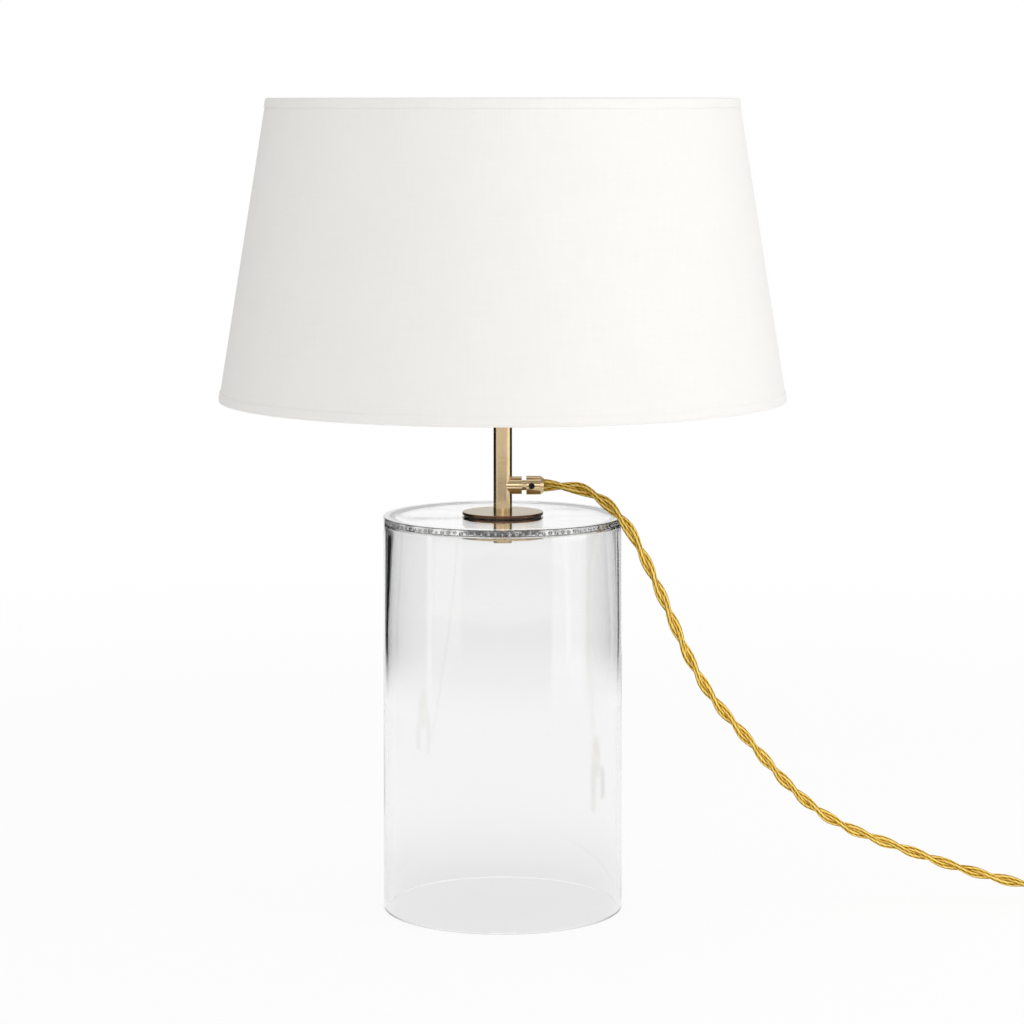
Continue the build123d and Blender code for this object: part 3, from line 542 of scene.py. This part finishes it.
def add_piece(name, data, slot, body, *replaced, finish=None):
    """A finished piece that rides on a body and stands for CAD nodes."""
    piece = bpy.data.objects.new(name, data)
    bpy.context.scene.collection.objects.link(piece)
    data.materials.clear()
    data.materials.append((finish or FINISHES[slot]).owner)
    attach(piece, body)
    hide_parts(*replaced)
    return piece


def mesh_from(name, shape, sharp=40):
    """Mesh data of a bmesh, smooth but for its sharp edges."""
    data = bpy.data.meshes.new(name)
    shape.to_mesh(data)
    shape.free()
    for face in data.polygons:
        face.use_smooth = True
    data.set_sharp_from_angle(angle=math.radians(sharp))
    return data


def rounded(corners, steps=8):
    """Points of a closed outline whose corners are (radius, height, size of the round)."""
    points = []
    count = len(corners)
    for i, corner in enumerate(corners):
        here = Vector(corner[:2])
        back = (Vector(corners[i - 1][:2]) - here).normalized()
        on = (Vector(corners[(i + 1) % count][:2]) - here).normalized()
        if not corner[2]:
            points.append(here)
            continue
        half = back.angle(on) / 2
        centre = here + (back + on).normalized() * corner[2] / math.sin(half)
        spoke = here + back * corner[2] / math.tan(half) - centre
        sweep = -spoke.angle_signed(here + on * corner[2] / math.tan(half) - centre)
        for step in range(steps + 1):
            points.append(centre + Matrix.Rotation(sweep * step / steps, 2) @ spoke)
    return points


def divided(points, longest):
    """The outline with its long sides divided evenly."""
    result = []
    for here, after in zip(points, points[1:] + points[:1]):
        parts = max(1, math.ceil((after - here).length / longest))
        result += [here.lerp(after, part / parts) for part in range(parts)]
    return result


def spun(outline, steps):
    """A closed outline turned all the way round the lamp's axis."""
    shape = bmesh.new()
    ring = [shape.verts.new((point.x, 0, point.y)) for point in outline]
    edges = [shape.edges.new(pair) for pair in zip(ring, ring[1:] + ring[:1])]
    bmesh.ops.spin(
        shape,
        geom=ring + edges,
        cent=(0, 0, 0),
        axis=(0, 0, 1),
        angle=2 * math.pi,
        steps=steps,
        use_merge=True,
    )
    bmesh.ops.remove_doubles(shape, verts=shape.verts, dist=1e-6)
    bmesh.ops.recalc_face_normals(shape, faces=shape.faces)
    return shape


# Glass bell
def add_bubbles(shape, radius, height):
    """Air bubbles in the thick corner of the glass, their faces turned inwards."""
    for i in range(BUBBLE_COUNT):
        draws = [Vector((BUBBLE_DRAW * i, 0.5, way + 0.3)) for way in range(3)]
        odd = Vector([noise.noise(draw) for draw in draws])
        place = Vector((radius + BUBBLE_SPREAD * odd.x, 0, height + BUBBLE_SPREAD * odd.y))
        turn = Matrix.Rotation(2 * math.pi * i / BUBBLE_COUNT, 4, "Z")
        bubble = bmesh.ops.create_icosphere(
            shape,
            subdivisions=3,
            radius=BUBBLE_R * (1 + BUBBLE_VARIES * odd.z),
            matrix=turn @ Matrix.Translation(place),
        )
        faces = {face for vert in bubble["verts"] for face in vert.link_faces}
        bmesh.ops.reverse_faces(shape, faces=list(faces))


def glass_bell():
    low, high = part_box("glass_body")
    outer_r = high.x
    hole_r = GLASS_HOLE_D / 2
    under_z = high.z - GLASS_PLATE
    top_z = high.z - GLASS_DRY_GAP
    plate_z = under_z + GLASS_DRY_GAP
    corners = [
        (hole_r, high.z + GLASS_PRESSED, GLASS_EDGE_R),
        (GLASS_PRESSED_R, high.z + GLASS_PRESSED, 0),
        (GLASS_PRESSED_R + GLASS_DRY_GAP, top_z, 0),
        (outer_r, top_z, GLASS_SHOULDER_R),
        (outer_r, low.z, GLASS_EDGE_R),
        (outer_r - GLASS_WALL, low.z, GLASS_EDGE_R),
        (outer_r - GLASS_WALL, plate_z - GLASS_THICKENING, GLASS_TAPER_R),
        (outer_r - GLASS_WALL_TOP, plate_z, GLASS_INNER_R),
        (GLASS_PRESSED_R + GLASS_DRY_GAP, plate_z, 0),
        (GLASS_PRESSED_R, under_z - GLASS_PRESSED, 0),
        (hole_r, under_z - GLASS_PRESSED, GLASS_EDGE_R),
    ]
    shape = spun(divided(rounded(corners), GLASS_SIDE), GLASS_STEPS)
    for vert in shape.verts:
        radius = vert.co.xy.length
        near_top = max(0, 1 - (high.z - vert.co.z) / GLASS_WAVY_H)
        waves = noise.noise(vert.co * GLASS_WAVE_SCALE) * near_top
        inside = GLASS_WAVY_FROM < radius < outer_r - GLASS_SKIN
        if inside and vert.co.z < plate_z + PLATE_MARGIN:
            vert.co.xy *= 1 + GLASS_WAVE * waves / radius
    add_bubbles(shape, outer_r - BUBBLE_INSET, high.z - BUBBLE_INSET)
    data = mesh_from("glass_bell", shape)
    return add_piece("glass_bell", data, "clear_glass", "base", "glass_body")


glass_bell()


# Shade: linen on a stiff liner, rolled over the wires
def shade_line():
    """Outer radius of the shade at a height, from its hems."""
    bottom_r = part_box("bottom_hem")[1].x
    slope = (top_r() - bottom_r) / (shade_high - shade_low)
    return lambda z: bottom_r + slope * (z - shade_low)


def top_r():
    """Radius of the shade's upper edge."""
    corners = [v.co for v in nodes["top_hem"].data.vertices]
    top = max(corner.z for corner in corners)
    return max(corner.xy.length for corner in corners if corner.z > top - 1e-4)


shade_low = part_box("bottom_hem")[0].z
shade_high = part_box("top_hem")[1].z
outer_at = shade_line()


def lay_flat(data):
    """Give a shade mesh the UV map of its flat cut, a sector split at the back."""
    flare = math.atan2(outer_at(shade_low) - outer_at(shade_high), shade_high - shade_low)
    apex = shade_low + outer_at(shade_low) / math.tan(flare)
    layer = data.uv_layers.new(name="flat_cut")
    for face in data.polygons:
        middle = math.atan2(face.center.x, -face.center.y)
        for loop in face.loop_indices:
            place = data.vertices[data.loops[loop].vertex_index].co
            way = math.atan2(place.x, -place.y)
            way = middle + math.remainder(way - middle, 2 * math.pi)
            slant = (apex - place.z) / math.cos(flare)
            turn = way * math.sin(flare)
            layer.data[loop].uv = (slant * math.sin(turn), slant * math.cos(turn))


def cone(inset, thickness, low, high):
    """Closed outline of a cone wall inside the shade's outer line."""
    return [
        Vector((outer_at(high) - inset, high)),
        Vector((outer_at(low) - inset, low)),
        Vector((outer_at(low) - inset - thickness, low)),
        Vector((outer_at(high) - inset - thickness, high)),
    ]


def wrinkle(shape, size):
    """Uneven stretch of the cloth over its liner."""
    for vert in shape.verts:
        place = Vector([way * scale for way, scale in zip(vert.co, WRINKLE_SCALE)])
        vert.co.xy *= 1 + size * noise.noise(place) / vert.co.xy.length


def linen_cover():
    outline = cone(FABRIC_INSET, FABRIC_T, shade_low, shade_high)
    shape = spun(divided(outline, FABRIC_SIDE), SHADE_STEPS)
    wrinkle(shape, FABRIC_WAVE)
    data = mesh_from("linen_cover", shape)
    lay_flat(data)
    return add_piece("linen_cover", data, "shade_fabric", "shade", "shade_cover")


def rolled_hem(name, edge, inward, node):
    """Edge of the cloth, rolled over the frame wire and tucked behind it."""
    def at(height, inset):
        z = edge + inward * height
        return outer_at(z) - inset, z

    lip = -HEM_ROLL
    corners = [
        (*at(HEM_W, 0), HEM_T / 3),
        (*at(lip, 0), HEM_BEND),
        (*at(lip, HEM_DEPTH), HEM_BEND),
        (*at(HEM_W, HEM_DEPTH), HEM_T / 3),
        (*at(HEM_W, HEM_DEPTH - HEM_T), HEM_T / 3),
        (*at(lip + HEM_T, HEM_DEPTH - HEM_T), HEM_BEND - HEM_T),
        (*at(lip + HEM_T, HEM_T), HEM_BEND - HEM_T),
        (*at(HEM_W, HEM_T), HEM_T / 3),
    ]
    shape = spun(rounded(corners, 5), SHADE_STEPS)
    wrinkle(shape, FABRIC_WAVE)
    for vert in shape.verts:
        way = math.atan2(vert.co.y, vert.co.x)
        free = abs(vert.co.z - edge) / HEM_W
        place = Vector((math.cos(way), math.sin(way), 1)) * HEM_WANDER_SCALE
        vert.co.z += HEM_WANDER * free * noise.noise(place)
    data = mesh_from(name, shape, 60)
    lay_flat(data)
    return add_piece(name, data, "shade_fabric", "shade", node)


linen = linen_cover()
hems = [
    rolled_hem("rolled_bottom_hem", shade_low, 1, "bottom_hem"),
    rolled_hem("rolled_top_hem", shade_high, -1, "top_hem"),
]


# Cords
def mesh_of(curve):
    """Mesh data of a curve, which is then dropped."""
    holder = bpy.data.objects.new(curve.name, curve)
    bpy.context.scene.collection.objects.link(holder)
    found = holder.evaluated_get(bpy.context.evaluated_depsgraph_get())
    data = bpy.data.meshes.new_from_object(found)
    bpy.data.objects.remove(holder)
    bpy.data.curves.remove(curve)
    return data


def spline_line(points):
    """Points along the smooth spline that a route controls."""
    curve = bpy.data.curves.new("route", "CURVE")
    curve.dimensions = "3D"
    curve.resolution_u = 16
    spline = curve.splines.new("NURBS")
    spline.points.add(len(points) - 1)
    for knot, point in zip(spline.points, points):
        knot.co = (*point, 1)
    spline.order_u = 3
    spline.use_endpoint_u = True
    data = mesh_of(curve)
    line = [vert.co.copy() for vert in data.vertices]
    bpy.data.meshes.remove(data)
    return line


def even_steps(line, step):
    """Points at even distances along a line."""
    result = [line[0]]
    need = step
    for here, after in zip(line, line[1:]):
        run = (after - here).length
        while need <= run:
            result.append(here.lerp(after, need / run))
            need += step
        need -= run
    result.append(line[-1])
    return result


def frames_along(line):
    """Each point with two directions across the line, carried on without twist."""
    across = Vector((0, 1, 0))
    result = []
    for i, here in enumerate(line):
        way = (line[min(i + 1, len(line) - 1)] - line[max(i - 1, 0)]).normalized()
        across = (across - way * across.dot(way)).normalized()
        result.append((here, across, way.cross(across)))
    return result


def twisted_pair(name, line, start_turn, loosened):
    """Two strands wound right-handed round a line, looser at a loosened start."""
    curve = bpy.data.curves.new(name, "CURVE")
    curve.dimensions = "3D"
    curve.bevel_depth = STRAND_R
    curve.bevel_resolution = 3
    curve.use_fill_caps = True
    steps = frames_along(even_steps(line, CORD_STEP))
    for side in (0, math.pi):
        spline = curve.splines.new("POLY")
        spline.points.add(len(steps) - 1)
        for i, (here, across, up) in enumerate(steps):
            length = i * CORD_STEP
            loose = min(length, LOOSE_LENGTH * loosened)
            lays = loose / LOOSE_LAY + (length - loose) / LAY
            turn = start_turn + side + 2 * math.pi * lays
            swell = 1 + PAIR_SWELL * loosened * max(0, 1 - length / SWELL_LENGTH)
            reach = PAIR_R * swell
            place = here + reach * (math.cos(turn) * across + math.sin(turn) * up)
            spline.points[i].co = (*place, 1)
            spline.points[i].radius = swell
    data = mesh_of(curve)
    data.name = name
    for face in data.polygons:
        face.use_smooth = True
    length = CORD_STEP * (len(steps) - 1)
    for corner in data.uv_layers["UVMap"].data:
        share, way_round = corner.uv
        corner.uv = (way_round, share * length)
    return data


def coil_point(turn):
    """Point of the put-away coil after some turns: in, up a layer and out again."""
    past_middle = turn - COIL_TURNS / 2
    pulled_in = 0.75 + 0.25 * math.cos(2 * math.pi / COIL_STEPS)
    radius = (COIL_INNER_R + COIL_PITCH * abs(past_middle)) / pulled_in
    climb = min(max(past_middle / COIL_CLIMB + 0.5, 0), 1)
    angle = 2 * math.pi * turn - math.pi / 2
    return (
        COIL_CENTRE[0] + radius * math.cos(angle),
        COIL_CENTRE[1] + radius * math.sin(angle),
        COIL_LOW + COIL_PITCH * climb**2 * (3 - 2 * climb),
    )


drop_line = spline_line(DROP_ROUTE)
drop_data = twisted_pair("cord_to_switch", drop_line, TWIST_START, 1)
drop_cord = add_piece("cord_to_switch", drop_data, "gold_textile", "base", "cord_drop")


# Band that holds the coil
def coil_band():
    low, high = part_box("coil_tie")
    wide = TIE_T
    corners = [
        (low.x + wide, low.z + wide, TIE_CORNER_R),
        (high.x - wide, low.z + wide, TIE_CORNER_R),
        (high.x - wide, high.z - wide, TIE_CORNER_R),
        (low.x + wide, high.z - wide, TIE_CORNER_R),
    ]
    shape = bmesh.new()
    outline = divided(rounded(corners), TIE_SIDE)
    loop = [shape.verts.new((point.x, low.y, point.y)) for point in outline]
    edges = [shape.edges.new(pair) for pair in zip(loop, loop[1:] + loop[:1])]
    grown = bmesh.ops.extrude_edge_only(shape, edges=edges)["geom"]
    moved = [item for item in grown if isinstance(item, bmesh.types.BMVert)]
    bmesh.ops.translate(shape, verts=moved, vec=(0, high.y - low.y, 0))
    bmesh.ops.recalc_face_normals(shape, faces=shape.faces)
    bmesh.ops.solidify(shape, geom=shape.faces[:], thickness=-TIE_T)
    return add_piece("coil_band", mesh_from("coil_band", shape), "tie_band", "base", "coil_tie")


tie = coil_band()
coil_count = round(COIL_TURNS * COIL_STEPS)
coil_route = [coil_point(step / COIL_STEPS) for step in range(coil_count + 1)]
lead_line = spline_line(LINK_ROUTE + coil_route + TAIL_ROUTE)
lead_data = twisted_pair("cord_to_plug", lead_line, 0, 0)
lead_cord = add_piece(
    "cord_to_plug", lead_data, "gold_textile", "base", "cord_link", "cord_coil", "cord_tail"
)


# Rolled thread of the lampholder's screw shell
def socket_thread():
    """One pitch of the thread's profile, spun upwards and cut at the shell's ends."""
    low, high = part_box("socket_shell")
    turns = math.ceil((high.z - low.z) / SOCKET_PITCH) + 2
    shape = bmesh.new()
    profile = []
    for step in range(THREAD_POINTS + 1):
        share = step / THREAD_POINTS
        crest = high.x - SOCKET_THREAD_DEPTH * (1 - math.cos(2 * math.pi * share)) / 2
        profile.append(shape.verts.new((crest, 0, low.z + SOCKET_PITCH * (share - 1.5))))
    edges = [shape.edges.new(pair) for pair in zip(profile, profile[1:])]
    bmesh.ops.spin(
        shape,
        geom=profile + edges,
        cent=(0, 0, 0),
        axis=(0, 0, 1),
        angle=2 * math.pi * turns,
        steps=THREAD_STEPS * turns,
        dvec=(0, 0, SOCKET_PITCH / THREAD_STEPS),
    )
    bmesh.ops.remove_doubles(shape, verts=shape.verts, dist=1e-6)
    for height, normal in ((low.z, (0, 0, -1)), (high.z, (0, 0, 1))):
        geometry = shape.verts[:] + shape.edges[:] + shape.faces[:]
        bmesh.ops.bisect_plane(
            shape, geom=geometry, plane_co=(0, 0, height), plane_no=normal, clear_outer=True
        )
    bmesh.ops.recalc_face_normals(shape, faces=shape.faces)
    bmesh.ops.solidify(shape, geom=shape.faces[:], thickness=THREAD_WALL)
    data = mesh_from("socket_thread", shape)
    return add_piece("socket_thread", data, "contact_brass", "base", "socket_shell")


socket_thread()


# Set screw of the cord grip, sunk in its hole
def set_screw():
    low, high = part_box("grip_screw")
    radius = (high.x - low.x) / 2
    depth = high.y - low.y - SCREW_SUNK
    middle = ((low.x + high.x) / 2, high.y - depth / 2, (low.z + high.z) / 2)
    place = Matrix.Translation(middle) @ Matrix.Rotation(math.pi / 2, 4, "X")
    shape = bmesh.new()
    bmesh.ops.create_cone(
        shape,
        cap_ends=True,
        segments=24,
        radius1=radius,
        radius2=radius,
        depth=depth,
        matrix=place,
    )
    outer = [min(shape.faces, key=lambda face: face.calc_center_median().y)]
    bmesh.ops.inset_region(shape, faces=outer, thickness=radius - SCREW_SOCKET_R)
    bmesh.ops.inset_region(
        shape, faces=outer, thickness=SCREW_SOCKET_R / 6, depth=-SCREW_SOCKET_DEPTH
    )
    bmesh.ops.recalc_face_normals(shape, faces=shape.faces)
    data = mesh_from("grip_set_screw", shape)
    black = worked_metal("black_steel", rgb(0.012, 0.011, 0.01), rgb(0.04, 0.037, 0.034), 0.3)
    return add_piece("grip_set_screw", data, "steel", "base", "grip_screw", finish=black)


set_screw()


# Stage: white table, cards, soft light and camera
def stage_piece(name, shape, finish):
    data = bpy.data.meshes.new(name)
    shape.to_mesh(data)
    shape.free()
    data.materials.append(finish.owner)
    made = bpy.data.objects.new(name, data)
    bpy.context.scene.collection.objects.link(made)
    return made


def seen_directly(finish):
    """One on rays from the camera, a mirror or glass, and nought on others."""
    kinds = ["Is Camera Ray", "Is Glossy Ray", "Is Transmission Ray"]
    camera, glossy, through = [finish.node("ShaderNodeLightPath", output=kind) for kind in kinds]
    return camera.most(glossy).most(through)


def floor_finish():
    """White table with painted shadow: greyer through the glass and under its rim, and all glow
    where it ends.
    """
    finish = new_finish("floor", Roughness=0.9, Base_Color=rgb(1, 1, 1))
    output = finish.tree.nodes["Material Output"]
    way = finish.radius()
    glass_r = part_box("glass_body")[1].x
    # Painted contact shadow in a ring under the glass's rim, darker at the front than at the
    # back.
    contact_shadow_darkest = finish.stepped(finish.axis(1), -glass_r / 3, glass_r, CONTACT_SHADOW_FRONT, CONTACT_SHADOW_BACK)
    rim = abs(way - (glass_r - CONTACT_SHADOW_INSET))
    painted_contact_shadow = finish.stepped(rim, 0, CONTACT_SHADOW_W, contact_shadow_darkest, 1)
    # Painted shadow on the table as seen through the glass, near the lamp.
    shaded = finish.stepped(way, 0, SHADED_R, SHADED_GLOW, 1)
    through = finish.node("ShaderNodeLightPath", output="Is Transmission Ray")
    level = (1 - through + through * shaded) * painted_contact_shadow
    glow = finish.node("ShaderNodeEmission", {}, {"Color": level})
    far = finish.stepped(way, FLOOR_NEAR, FLOOR_FAR, FLOOR_GLOW, 1)
    plain = Value(finish, finish.shader.outputs[0])
    inputs = {0: seen_directly(finish) * far, 1: plain, 2: glow}
    finish.feed(output.inputs["Surface"], finish.node("ShaderNodeMixShader", {}, inputs))
    return finish


table = bmesh.new()
bmesh.ops.create_grid(table, x_segments=1, y_segments=1, size=FLOOR_SIZE / 2)
stage_piece("floor", table, floor_finish())

world = bpy.data.worlds.new("studio")
bpy.context.scene.world = world
sky = Finish(world, "Background", {"Color": rgb(1, 1, 1)})
sky.feed_shader("Strength", seen_directly(sky) * (1 - FILL) + FILL)


def card(name, radius, start, end, low, high, shade, feather):
    """Stage card on an arc round the lamp, its foot and ends fading into the white."""
    finish = new_finish(name, Roughness=1, Base_Color=rgb(0, 0, 0), Emission_Strength=1)
    foot = finish.stepped(finish.axis(2), low, low + CARD_FADE, 0, 1)
    middle = math.radians(start + end) / 2
    half = math.radians(end - start) / 2
    towards = Vector((math.cos(middle), math.sin(middle), 0)) / radius
    inputs = {0: finish.place(), 1: towards}
    along = finish.node("ShaderNodeVectorMath", {"operation": "DOT_PRODUCT"}, inputs, output=1)
    ends = finish.stepped(along, math.cos(half), math.cos(half - math.radians(feather)), 0, 1)
    finish.feed_shader("Emission Color", foot * ends * (shade - 1) + 1)
    shape = bmesh.new()
    side = [shape.verts.new((radius, 0, z)) for z in (low, high)]
    edge = shape.edges.new(side)
    turn = Matrix.Rotation(math.radians(start), 3, "Z")
    bmesh.ops.rotate(shape, verts=side, cent=(0, 0, 0), matrix=turn)
    bmesh.ops.spin(
        shape,
        geom=side + [edge],
        cent=(0, 0, 0),
        axis=(0, 0, 1),
        angle=math.radians(end - start),
        steps=CARD_STEPS,
    )
    made = stage_piece(name, shape, finish)
    made.visible_camera = False
    made.visible_diffuse = False
    made.visible_shadow = False
    return made


# Seen through the glass; each angle is in degrees from the right, turning to the back
through_cards = [
    card("left_edge_card", CARD_R, 116, 194, 0, THROUGH_CARD_H, 0, 2),
    card("right_edge_card", CARD_R, 52, 60, 0, THROUGH_CARD_H, 0.05, 2),
    card("right_grey_card", CARD_R, -12, 52, 0, THROUGH_CARD_H, 0.45, 4),
    card("front_grey_card", CARD_R, 197, 318, 0, FRONT_CARD_H, 0.3, 4),
]
for made in through_cards:
    made.visible_glossy = False
# Mirrored in the glass and the brass
mirror_cards = [
    card("left_card", CARD_R + 0.02, 115, 200, 0, GLASS_CARD_H, 0, 4),
    card("right_card", CARD_R + 0.02, -8, 66, 0, GLASS_CARD_H, 0, 4),
    card("left_stem_card", CARD_R + 0.025, 115, 183, STEM_CARD_FOOT, STEM_CARD_H, 0, 4),
    card("right_stem_card", CARD_R + 0.025, 5, 66, STEM_CARD_FOOT, STEM_CARD_H, 0, 4),
    card("front_card", CARD_R + 0.04, 200, 318, 0, FRONT_CARD_H, 0, 4),
    card("strip_light", CARD_R + 0.03, -32, 8, 0, STRIP_H, STRIP_GLOW, 10),
]
for made in mirror_cards:
    made.visible_transmission = False


def soft_light(name, place, target, size, energy):
    light = bpy.data.lights.new(name, "AREA")
    light.shape = "RECTANGLE"
    light.size, light.size_y = size
    light.energy = energy
    lamp = bpy.data.objects.new(name, light)
    bpy.context.scene.collection.objects.link(lamp)
    lamp.location = place
    lamp.rotation_euler = (Vector(target) - Vector(place)).to_track_quat("-Z", "Y").to_euler()


soft_light("front_box", (0, -2.2, 1.15), (0, 0, 0.3), (1.2, 1.0), FRONT_ENERGY)
soft_light("side_box", (1.6, -0.58, 1.05), (0, 0, 0.3), (0.8, 1.0), SIDE_ENERGY)

camera = bpy.data.cameras.new("camera")
camera.sensor_width = SENSOR * 1000
camera.lens = SENSOR * 1000 * FOCAL_PIXELS / PICTURE
camera.shift_y = -SHIFT_PIXELS / PICTURE
viewer = bpy.data.objects.new("camera", camera)
bpy.context.scene.collection.objects.link(viewer)
viewer.location = (CAMERA_X, -CAMERA_DISTANCE, CAMERA_HEIGHT)
viewer.rotation_euler = (math.pi / 2 - CAMERA_TILT, 0, 0)
bpy.context.scene.camera = viewer
bpy.context.scene.view_settings.view_transform = "Standard"
